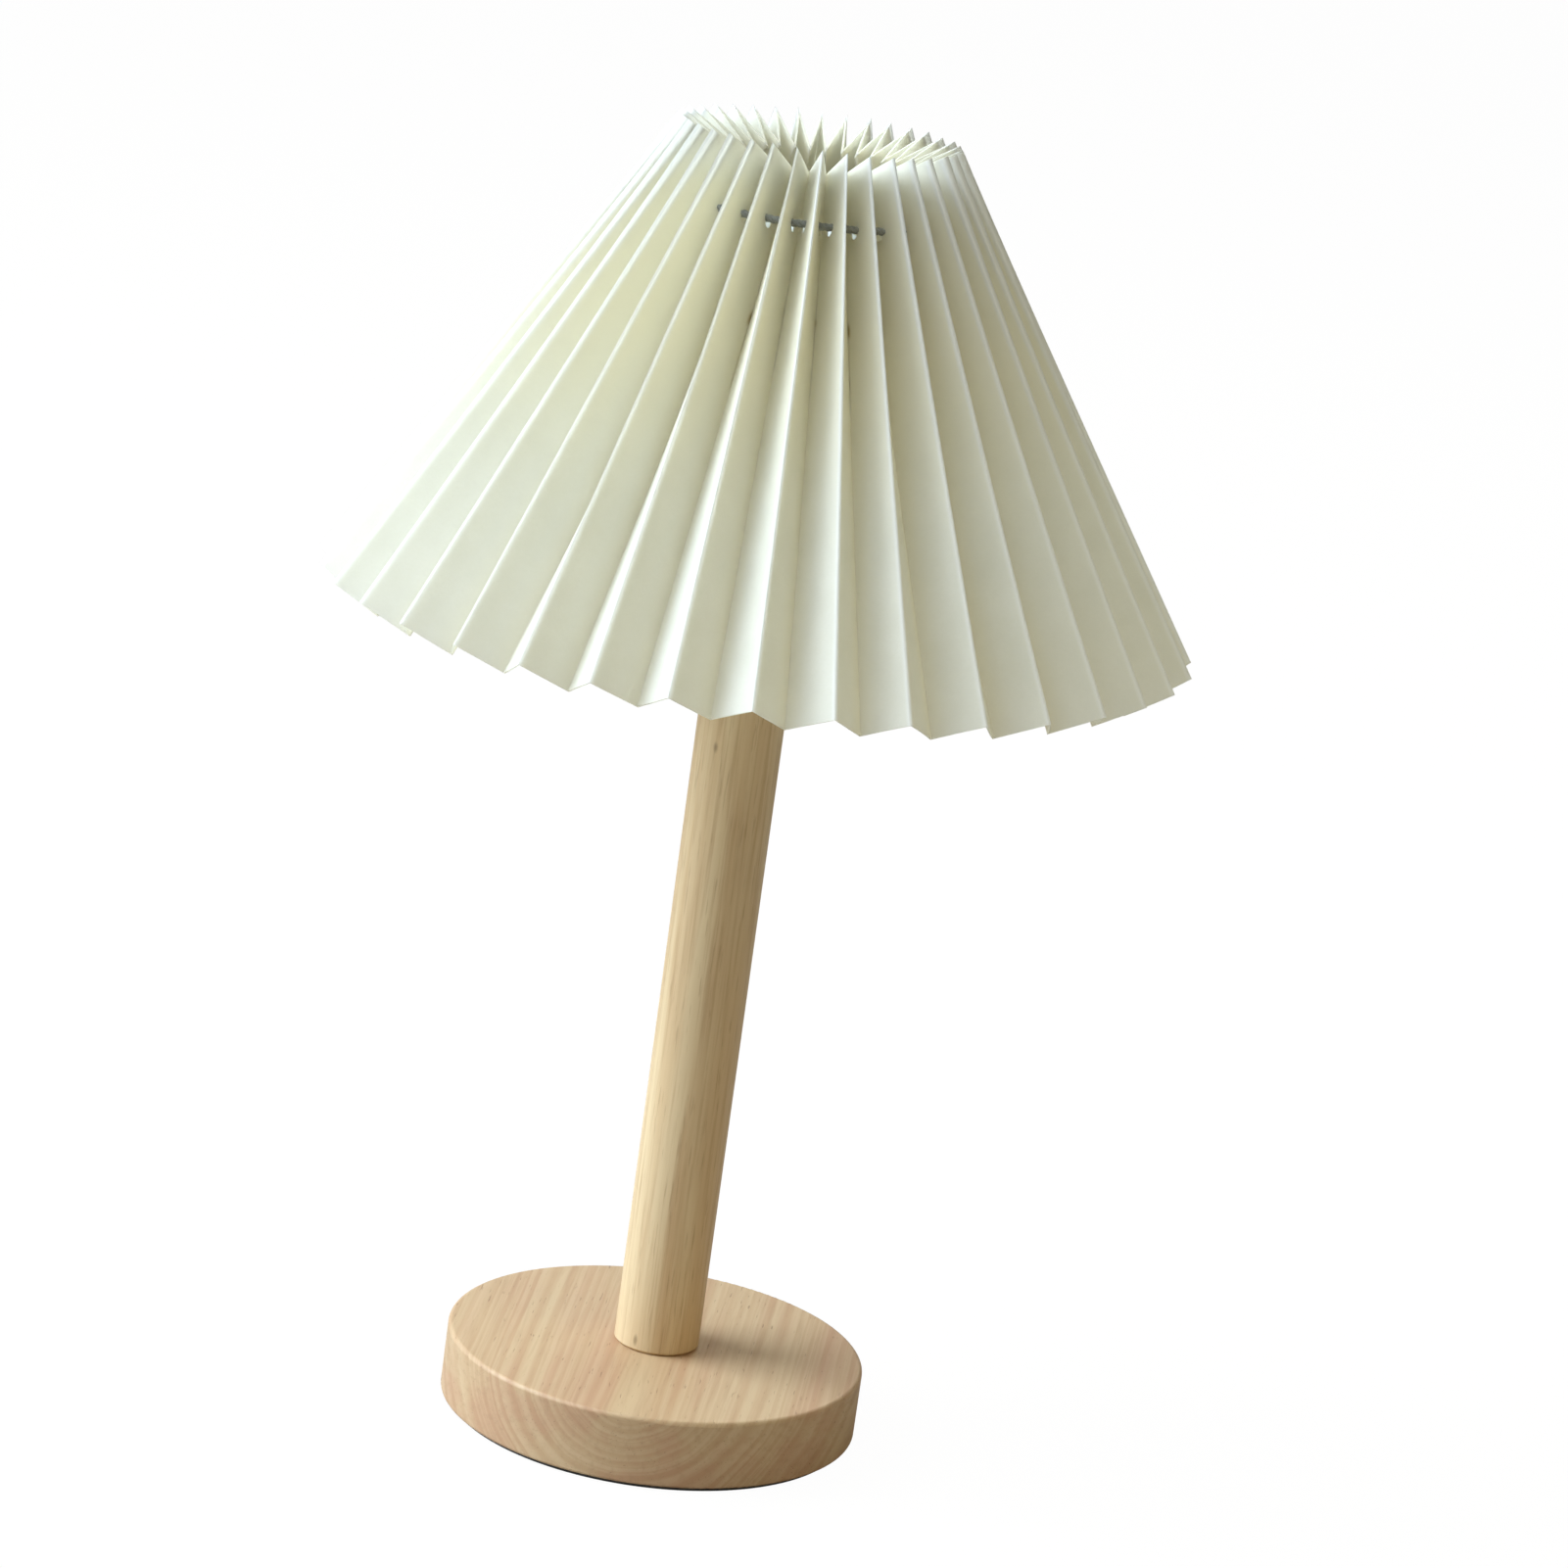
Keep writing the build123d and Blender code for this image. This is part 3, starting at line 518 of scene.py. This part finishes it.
def patch_edge(patch_columns, patch_rows):
    """Grid places round the edge of the punched patch, in order."""
    low_i, high_i = patch_columns[0], patch_columns[-1]
    low_k, high_k = patch_rows[0], patch_rows[-1]
    edge = [(i, low_k) for i in range(low_i, high_i)]
    edge += [(high_i, k) for k in range(low_k, high_k)]
    edge += [(i, high_k) for i in range(high_i, low_i, -1)]
    edge += [(low_i, k) for k in range(high_k, low_k, -1)]
    return edge


# ---------------------------------------------------------------- pleated paper
class Facet:
    """One side of a pleat, between two folds. u runs across it and t up it, both from 0 to 1."""

    def __init__(self, number, left_fold, right_fold, draw):
        self.number = number
        self.left_low, self.left_high = left_fold
        self.right_low, self.right_high = right_fold
        self.ends_on_ridge = number % 2 == 1
        self.bows = [draw.uniform(-most, most) for most in FACET_BOWS]

    def point(self, u, t):
        """Place on the facet, which is bowed and faintly wrinkled between its folds."""
        left = self.left_low.lerp(self.left_high, t)
        right = self.right_low.lerp(self.right_high, t)
        outward = (right - left).cross(self.left_high - self.left_low).normalized()
        low, middle, high = self.bows
        bow = low * (1 - t) ** 2 + middle * 2 * t * (1 - t) + high * t**2
        by_facet, by_column, by_row = WRINKLE_RATES
        place = Vector((self.number * by_facet, u * by_column, t * by_row))
        wrinkle = noise.noise(place) * WRINKLE_DEPTH
        return left.lerp(right, u) + outward * (bow + wrinkle) * sin(pi * u)

    def from_ridge(self, u):
        """Turns a place u into its share of the way from the ridge, and back."""
        return 1 - u if self.ends_on_ridge else u


class Sheet:
    """Points and faces of the whole strip, with a round hole punched in each facet."""

    def __init__(self):
        self.points = []
        self.ridge_shares = []
        self.faces = []
        self.grid = {}
        self.patches = {}
        self.holes = {}
        self.columns = sheet_columns()
        self.rows = sheet_rows()
        self.punch = 1 - PUNCH_FROM_TOP / FOLD_LENGTH
        self.patch_rows = near_punch(self.rows, self.punch, FOLD_LENGTH)

    def add_point(self, facet, u, t):
        """Adds a point, with how near to the ridge it is: 1 on it, 0 in the valley."""
        self.points.append(facet.point(u, t))
        self.ridge_shares.append(1 - facet.from_ridge(u))
        return len(self.points) - 1

    def add_facet(self, facet):
        """Adds a facet's points, but for its last column, which is the next facet's first."""
        columns = sorted(facet.from_ridge(share) for share in self.columns)
        centre = facet.from_ridge(PUNCH_FROM_RIDGE / FACET_WIDTH)
        patch_columns = near_punch(columns, centre, FACET_WIDTH)
        for i, u in enumerate(columns[:-1]):
            for k, t in enumerate(self.rows):
                if i in patch_columns[1:-1] and k in self.patch_rows[1:-1]:
                    continue
                self.grid[facet.number, i, k] = self.add_point(facet, u, t)
        rim = []
        for i, k in patch_edge(patch_columns, self.patch_rows):
            aside = (columns[i] - centre) * FACET_WIDTH
            upward = (self.rows[k] - self.punch) * FOLD_LENGTH
            turn = atan2(upward, aside)
            u = centre + PUNCH_RADIUS * cos(turn) / FACET_WIDTH
            t = self.punch + PUNCH_RADIUS * sin(turn) / FOLD_LENGTH
            rim.append((self.add_point(facet, u, t), self.grid[facet.number, i, k]))
        self.holes[facet.number] = rim
        self.patches[facet.number] = patch_columns

    def at(self, number, i, k):
        """Point in a facet's column and row."""
        if i == len(self.columns) - 1:
            return self.grid[(number + 1) % FACETS, 0, k]
        return self.grid[number, i, k]

    def add_faces(self, number):
        """Adds a facet's faces: those between its points, and the ring round its hole."""
        for i in range(len(self.columns) - 1):
            for k in range(len(self.rows) - 1):
                if i in self.patches[number][:-1] and k in self.patch_rows[:-1]:
                    continue
                corners = ((i, k), (i + 1, k), (i + 1, k + 1), (i, k + 1))
                self.faces.append(tuple(self.at(number, *corner) for corner in corners))
        rim = self.holes[number]
        for (hole_a, outer_a), (hole_b, outer_b) in zip(rim, rim[1:] + rim[:1]):
            self.faces.append((outer_a, outer_b, hole_b, hole_a))


def pleated_paper():
    """The folded sheet with its punched row, as one closed skin of even thickness."""
    folds = paper_folds()
    sheet = Sheet()
    draw = Random(5)
    for number in range(FACETS):
        sheet.add_facet(Facet(number, folds[number], folds[(number + 1) % FACETS], draw))
    for number in range(FACETS):
        sheet.add_faces(number)
    piece = mesh_piece("pleated_paper", sheet.points, sheet.faces)
    share = piece.data.attributes.new("fold", "FLOAT", "POINT")
    share.data.foreach_set("value", sheet.ridge_shares)
    return thickened(piece)


def thickened(piece):
    """Gives a sheet its thickness, half to each side, with crisp edges where it is cut."""
    solid = piece.modifiers.new("thickness", "SOLIDIFY")
    solid.thickness = PAPER_THICKNESS
    solid.offset = 0
    solid.use_even_offset = True
    both_sides = 2 * len(piece.data.polygons)
    bpy.context.view_layer.objects.active = piece
    bpy.ops.object.modifier_apply(modifier=solid.name)
    for cut_face in piece.data.polygons[both_sides:]:
        for corner in cut_face.loop_indices:
            edge = piece.data.loops[corner].edge_index
            piece.data.edges[edge].use_edge_sharp = True
    return piece


# ---------------------------------------------------------------- drawstring
STRANDS = 3
STRAND_SIDES = 8
STRING_STEP = 0.55 * MM
STRING_PLAY = 0.12 * MM
RING_STEPS = 4 * PLEATS
# The knot sits over a valley at the back, in a gap of the ring
KNOT_TURN = pi / 2 + HALF_PITCH
KNOT_GAP = 0.55 * HALF_PITCH
KNOT_LOOP = 0.62 * MM
KNOT_DEPTH = 0.75 * MM
KNOT_STRAND_RADIUS = 0.85 * MM
KNOT_STRAND_SIDES = 10
KNOT_STEPS = 72
# Each lead goes from a point outside the ring to one behind the knot and beside its middle
LEAD_OUT_OF_RING = 2.2 * MM
LEAD_TURN = 0.014
LEAD_BEHIND_KNOT = 1.6 * MM
LEAD_BESIDE_KNOT = 0.7 * MM
# Side, length and curl of each tail
TAILS = ((1, TAIL_LENGTH, 0.9 * MM), (-1, 0.86 * TAIL_LENGTH, -0.5 * MM))
TAIL_APART = 1.2 * MM
TAIL_PARTING = 3.0 * MM
TAIL_BEND = 3.0
TAIL_SINK = 1.3 * MM
TAIL_STEPS = 12


def tail_path(knot, outward, sideways, side, length, curl):
    """A tail from the knot down the shade, parting from the other one and sinking to the paper."""
    down = (outward * sin(LEAN) - Vector((0, 0, cos(LEAN)))).normalized()
    tail = []
    for k in range(TAIL_STEPS + 1):
        s = k / TAIL_STEPS
        spread = side * (TAIL_APART + TAIL_PARTING * s + curl * sin(TAIL_BEND * s))
        sink = TAIL_SINK * sin(pi / 2 * s)
        tail.append(knot + down * (length * s) + sideways * spread - outward * sink)
    return tail


def string_path():
    """From one tail through the knot, round the punched holes and back to the other tail."""
    punch_ridge = TOP_RADIUS + PUNCH_FROM_TOP * sin(LEAN)
    punch_height = SHADE_TOP - PUNCH_FROM_TOP * cos(LEAN)
    depth = fold_depth(punch_ridge) * PUNCH_FROM_RIDGE / FACET_WIDTH
    radius, height = across(punch_ridge, punch_height, depth)
    slant = (BOTTOM_RADIUS - TOP_RADIUS) / (SHADE_TOP - HEM)
    ridge_here = BOTTOM_RADIUS - (height - HEM) * slant
    draw = Random(11)
    ring = []
    for k in range(RING_STEPS + 1):
        turn = KNOT_TURN + KNOT_GAP + (tau - 2 * KNOT_GAP) * k / RING_STEPS
        play = STRING_PLAY * draw.uniform(-1, 1)
        ring.append(around(radius + play, height + play, turn))
    outward = around(1, 0, KNOT_TURN)
    sideways = around(1, 0, KNOT_TURN + pi / 2)
    knot = around(ridge_here + KNOT_STAND_OFF, height, KNOT_TURN)
    tails = [tail_path(knot, outward, sideways, *tail) for tail in TAILS]
    leads = []
    for side in (1, -1):
        inner = around(radius + LEAD_OUT_OF_RING, height, KNOT_TURN + side * LEAD_TURN)
        outer = knot - outward * LEAD_BEHIND_KNOT + sideways * (side * LEAD_BESIDE_KNOT)
        leads.append([outer, outer.lerp(inner, 0.5), inner])
    path = tails[0][::-1] + leads[0] + ring + leads[1][::-1] + tails[1]
    return rounded(path), knot, outward, sideways


def knot_path(knot, outward, sideways):
    """Closed line of a trefoil knot that lies flat on the shade."""
    upright = outward.cross(sideways)
    loops = []
    for k in range(KNOT_STEPS + 1):
        turn = tau * k / KNOT_STEPS
        a = (sin(turn) + 2 * sin(2 * turn)) * KNOT_LOOP
        b = (cos(turn) - 2 * cos(2 * turn)) * KNOT_LOOP
        c = -sin(3 * turn) * KNOT_DEPTH
        loops.append(knot + sideways * a + upright * b + outward * c)
    return loops


def drawstring():
    """Three twisted strands along the string's path, with a small knot on it."""
    path, knot, outward, sideways = string_path()
    path = resampled(path, STRING_STEP)
    pairs = frames_along(path)
    points = []
    faces = []
    off = STRING_RADIUS - STRAND_RADIUS
    for strand in range(STRANDS):
        line = []
        for i, (centre, (side, up)) in enumerate(zip(path, pairs)):
            turn = tau * (i * STRING_STEP / STRAND_TWIST + strand / STRANDS)
            line.append(centre + side * (off * cos(turn)) + up * (off * sin(turn)))
        tube(line, STRAND_RADIUS, STRAND_SIDES, points, faces)
    loops = knot_path(knot, outward, sideways)
    tube(loops, KNOT_STRAND_RADIUS, KNOT_STRAND_SIDES, points, faces)
    return mesh_piece("drawstring_rope", points, faces)


# ---------------------------------------------------------------- pieces
paper = pleated_paper()
paper.data.materials.append(paper_finish())
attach(paper, "shade")
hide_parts("pleated_shade")

rope = drawstring()
rope.data.materials.append(string_finish())
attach(rope, "shade")
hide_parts("drawstring")

holder_finish = speckled_finish("holder_plastic", rgb(236, 234, 226), rgb(228, 225, 214), 0.45)
foam_finish = speckled_finish(
    "foam_rubber", rgb(92, 94, 98), rgb(66, 68, 72), 0.85, scale=1600, depth=0.12 * MM
)
ceramic_finish = speckled_finish(
    "glazed_ceramic", rgb(238, 236, 228), rgb(228, 225, 214), 0.2, scale=500
)
coat_finish = speckled_finish(
    "white_coat", rgb(232, 231, 225), rgb(222, 220, 211), 0.4, scale=700
)
steel_finish = brushed_finish("zinc_steel", (0.62, 0.62, 0.63), (0.42, 0.42, 0.44), 0.34)
brass_finish = brushed_finish("pressed_brass", (0.78, 0.60, 0.27), (0.52, 0.38, 0.16), 0.32)
nickel_finish = brushed_finish("nickel_plate", (0.72, 0.70, 0.66), (0.52, 0.50, 0.47), 0.22)
NODE_FINISHES = {
    "base_disc": base_wood_finish(),
    "pole": pole_wood_finish(),
    "anti_slip_pad": foam_finish,
    "cord_gland": speckled_finish("gland_plastic", rgb(38, 38, 40), rgb(54, 54, 56), 0.45),
    "holder_cap": holder_finish,
    "holder_body": holder_finish,
    "retaining_ring": holder_finish,
    "terminal_block": ceramic_finish,
    "terminal_clamps": brass_finish,
    "centre_contact": brass_finish,
    "side_contact": brass_finish,
    "terminal_screws": steel_finish,
    "base_washer": steel_finish,
    "base_nut": steel_finish,
    "threaded_tube": steel_finish,
    "pole_washer": steel_finish,
    "screw_shell": nickel_finish,
    "bulb_cap": nickel_finish,
    "bulb_contact": brushed_finish("solder", (0.58, 0.58, 0.57), (0.4, 0.4, 0.4), 0.4),
    "fitter_plate": coat_finish,
    "carrier_spokes": coat_finish,
    "carrier_ring": coat_finish,
    "bulb_insulator": speckled_finish("black_glass", rgb(28, 28, 32), rgb(40, 40, 44), 0.15),
    "bulb_housing": speckled_finish("bulb_plastic", rgb(240, 240, 238), rgb(232, 232, 228), 0.3),
    "bulb_driver_board": circuit_finish(),
    "bulb_led_board": speckled_finish("led_plate", rgb(236, 236, 234), rgb(222, 222, 218), 0.4),
    "bulb_leds": speckled_finish("led_phosphor", rgb(238, 214, 96), rgb(228, 196, 70), 0.5),
    "bulb_diffuser": opal_finish(),
}
for node, finish in NODE_FINISHES.items():
    node_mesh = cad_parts[node].data
    node_mesh.materials.clear()
    node_mesh.materials.append(finish)


# ---------------------------------------------------------------- studio
# The floor bounces one colour, and glows for the camera alone
FLOOR_REACH = 30.0
FLOOR_BOUNCE = (0.46, 0.42, 0.37, 1)
FLOOR_GLOW = 1.03
FLOOR_GLOW_SHARE = 0.95
LIGHTS_FACE = Vector((0, 0, 0.2))
WINDOW_COLOUR = (0.79, 0.90, 1.0)
SKY_COLOUR = (0.80, 0.91, 1.0)
ROOM_COLOUR = (1.0, 0.82, 0.40)
# The world turns from warm to cool along a direction, by how far a ray points that way
WORLD_STRENGTH = 0.28
WORLD_COOL_WAY = (-0.62, 0.48, 0.62)
WORLD_WARM_UP_TO = -0.7
WORLD_COOL_FROM = 0.8
WORLD_WARM = (1.0, 0.87, 0.54)
WORLD_COOL = (0.86, 0.94, 1.0)
WHITE = (1, 1, 1, 1)


def stage_floor():
    """A plain pale floor: the camera sees it near white, and it bounces a warm light."""
    reach = FLOOR_REACH
    corners = [(-reach, -reach, 0), (reach, -reach, 0), (reach, reach, 0), (-reach, reach, 0)]
    floor = mesh_piece("floor", corners, [(0, 1, 2, 3)], smooth=False)
    f = Finish("pale_floor")
    f.finish(FLOOR_BOUNCE, 0.9, Specular_IOR_Level=0.1)
    glow = f.node("ShaderNodeEmission", [("Color", WHITE), ("Strength", FLOOR_GLOW)])
    share = f.math("MULTIPLY", f.seen_by_camera(), FLOOR_GLOW_SHARE)
    both = f.mix_shaders(share, f.shader.outputs[0], glow.outputs[0])
    f.put(f.output.inputs["Surface"], both)
    floor.data.materials.append(f.material)


def soft_light(name, colour, power, azimuth, elevation, distance, size):
    """Oblong soft light that faces the shade. Azimuth 0 is in front, 90 is at +X."""
    a, e = radians(azimuth), radians(elevation)
    back = Vector((sin(a) * cos(e), -cos(a) * cos(e), sin(e)))
    data = bpy.data.lights.new(name, "AREA")
    data.shape = "RECTANGLE"
    data.size, data.size_y = size
    data.energy = power
    data.color = colour
    light = bpy.data.objects.new(name, data)
    light.location = LIGHTS_FACE + back * distance
    light.rotation_euler = back.to_track_quat("Z", "Y").to_euler()
    light.visible_camera = False
    scene.collection.objects.link(light)


def surroundings():
    """Faint light from all round, cool from the left and warm from the right.

    The camera itself sees plain white.
    """
    world = bpy.data.worlds.new("surroundings")
    world.use_nodes = True
    w = Nodes(world.node_tree)
    way = w.node("ShaderNodeTexCoord").outputs["Generated"]
    toward = w.node("ShaderNodeVectorMath", [(0, way), (1, WORLD_COOL_WAY)], operation="DOT_PRODUCT")
    links = [(0, toward.outputs["Value"]), (1, WORLD_WARM_UP_TO), (2, WORLD_COOL_FROM)]
    share = w.node("ShaderNodeMapRange", links).outputs[0]
    glow = world.node_tree.nodes["Background"]
    w.put(glow.inputs["Color"], w.mix(share, WORLD_WARM, WORLD_COOL))
    w.put(glow.inputs["Strength"], WORLD_STRENGTH)
    white = w.node("ShaderNodeBackground", [("Color", WHITE)])
    both = w.mix_shaders(w.seen_by_camera(), glow.outputs[0], white.outputs[0])
    w.put(world.node_tree.nodes["World Output"].inputs["Surface"], both)
    scene.world = world


def studio():
    """Cool window and sky on the left, a weaker cool light behind, a warm one at the front right."""
    stage_floor()
    soft_light("window", WINDOW_COLOUR, 69, azimuth=-90, elevation=30, distance=2.0, size=(1.5, 1.6))
    soft_light("sky", SKY_COLOUR, 25, azimuth=-75, elevation=64, distance=1.8, size=(1.5, 1.2))
    soft_light("back", SKY_COLOUR, 10, azimuth=165, elevation=48, distance=2.2, size=(1.4, 1.4))
    soft_light("fill", ROOM_COLOUR, 6, azimuth=60, elevation=48, distance=2.2, size=(1.2, 1.2))
    surroundings()
    scene.view_settings.view_transform = "Standard"


# ---------------------------------------------------------------- camera
CAMERA_DISTANCE = 1.271176
CAMERA_HEIGHT = 0.506791
CAMERA_ROUND = radians(-1.05)
CAMERA_PAN = radians(1.6278)
CAMERA_TILT = radians(14.7694)
CAMERA_ROLL = radians(7.9673)
IMAGE_WIDTH = 1601
FOCAL_PIXELS = 5335.1
SENSOR = 36.0


def photo_camera():
    """Camera at the photograph's place: round the lamp, panned, tilted down and rolled."""
    ahead_x = sin(CAMERA_PAN) * cos(CAMERA_TILT)
    ahead_y = cos(CAMERA_PAN) * cos(CAMERA_TILT)
    ahead = Vector((ahead_x, ahead_y, -sin(CAMERA_TILT)))
    level = Vector((cos(CAMERA_PAN), -sin(CAMERA_PAN), 0))
    upright = level.cross(ahead)
    right = level * cos(CAMERA_ROLL) + upright * sin(CAMERA_ROLL)
    up = upright * cos(CAMERA_ROLL) - level * sin(CAMERA_ROLL)
    data = bpy.data.cameras.new("photo_camera")
    data.sensor_width = SENSOR
    data.lens = FOCAL_PIXELS / IMAGE_WIDTH * SENSOR
    data.clip_start = 0.05
    data.clip_end = 200
    camera = bpy.data.objects.new("photo_camera", data)
    place = around(CAMERA_DISTANCE, CAMERA_HEIGHT, CAMERA_ROUND - pi / 2)
    columns = Matrix((right, up, -ahead)).transposed().to_4x4()
    camera.matrix_world = Matrix.Translation(place) @ columns
    scene.collection.objects.link(camera)
    scene.camera = camera


studio()
photo_camera()
